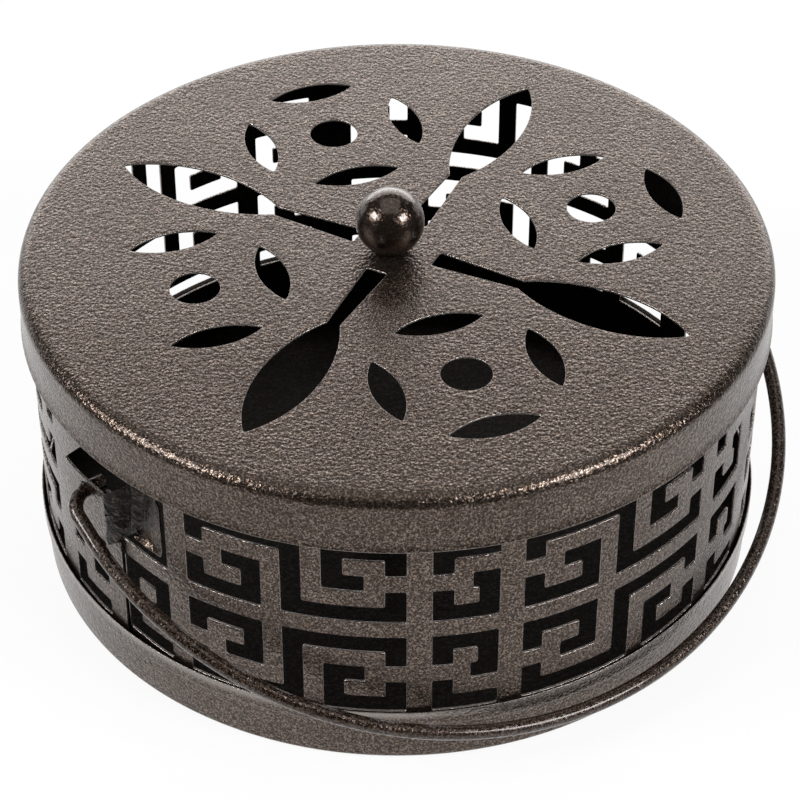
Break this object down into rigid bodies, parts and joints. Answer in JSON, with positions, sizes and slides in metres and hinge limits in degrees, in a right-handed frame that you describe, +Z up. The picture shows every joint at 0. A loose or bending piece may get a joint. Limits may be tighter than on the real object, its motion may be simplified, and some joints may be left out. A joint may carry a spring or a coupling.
{
  "type": "incense coil burner",
  "caption": "Round powder coated steel incense coil burner with a fret band, a pierced lid with a ball knob and a wire bail.",
  "frame": {"origin": "centre of the flat base of the pan, on the surface that it stands on", "axes": "+Z up along the axis of the pan and lid, -Y towards the viewer of the picture, +X to the right in it"},
  "size_m": [0.1502, 0.1493, 0.0782],
  "materials": {
    "coated_sheet": "fine wrinkled bronze grey powder coat, semi gloss",
    "coated_knob": "glossy bronze brown coat",
    "coated_wire": "wrinkled bronze brown coat, semi gloss",
    "stand_sheet": "dark coat, semi gloss",
    "plain_steel": "plain zinc plated steel"
  },
  "bodies": {
    "body": {"base_pan": "coated_sheet", "fret_band": "coated_sheet", "coil_stand": "stand_sheet"},
    "lid": {"lid": "coated_sheet", "ball_knob": "coated_knob", "knob_screw": "plain_steel"},
    "bail": {"bail_handle": "coated_wire"}
  },
  "joints": [
    {"name": "lid_lift", "type": "slide", "parent": "body", "child": "lid", "axis": [0, 0, 1], "range_m": [0, 0.07]},
    {"name": "bail_swing", "type": "hinge", "parent": "body", "child": "bail", "pos_m": [0, 0, 0.0404], "axis": [-0.8171, -0.5764, 0], "range_deg": [0, 228]}
  ]
}
